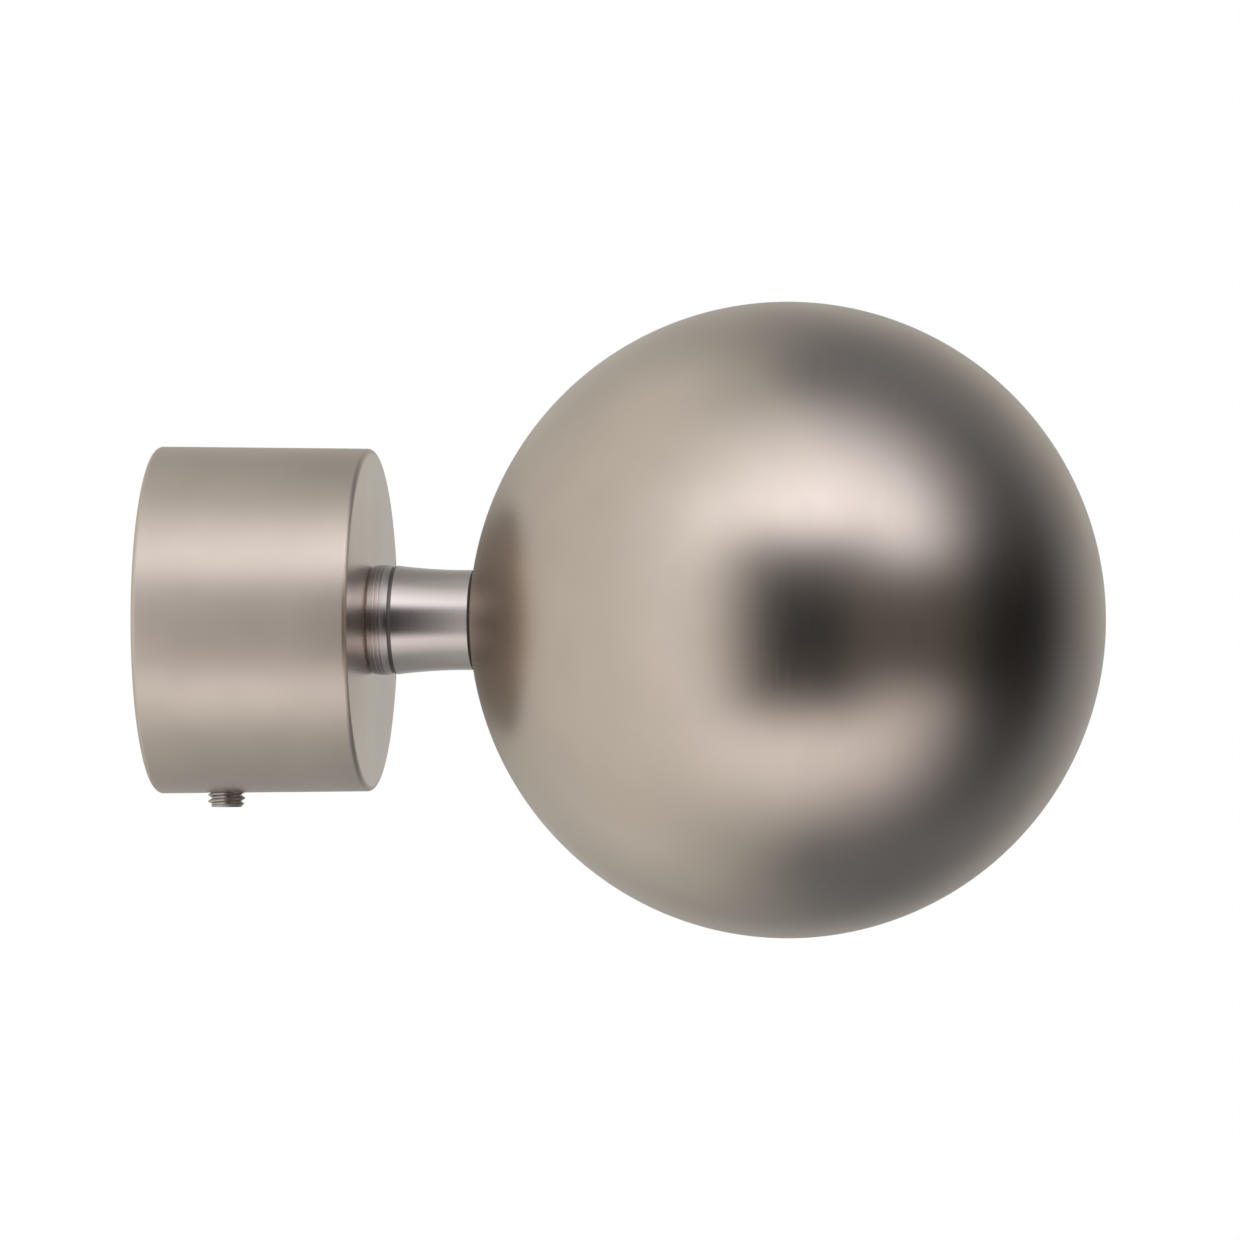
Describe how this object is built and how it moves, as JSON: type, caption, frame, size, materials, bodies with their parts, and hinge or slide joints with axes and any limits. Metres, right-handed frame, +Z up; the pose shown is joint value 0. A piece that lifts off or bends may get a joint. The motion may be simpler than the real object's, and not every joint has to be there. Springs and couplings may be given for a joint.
{
  "type": "curtain pole finial",
  "caption": "Curtain pole end finial: satin metal ball on a short flared neck, with a round cap that slips over the pole's end and is held by a grub screw.",
  "frame": {"origin": "centre of the socket's open mouth, where the pole goes in", "axes": "+X along the pole's axis, from the mouth out to the ball; +Z up; the grub screw points down, along -Z"},
  "size_m": [0.0901, 0.06, 0.06],
  "materials": {
    "satin_cap": "satin nickel plate, faint lines round the axis",
    "turned_neck": "bright nickel plate over fine turning marks",
    "satin_ball": "satin nickel plate",
    "plain_steel": "bare turned steel",
    "zinc_screw": "bright zinc plate",
    "grub_steel": "dull nickel plate over a rolled thread"
  },
  "bodies": {
    "finial": {"cap": "satin_cap", "neck": "turned_neck", "ball": "satin_ball", "ball_insert": "plain_steel", "assembly_screw": "zinc_screw"},
    "grub_screw": {"grub_screw": "grub_steel"}
  },
  "joints": [
    {"name": "grub_screw_travel", "type": "slide", "parent": "finial", "child": "grub_screw", "axis": [0, 0, 1], "range_m": [-0.001, 0.001]}
  ]
}
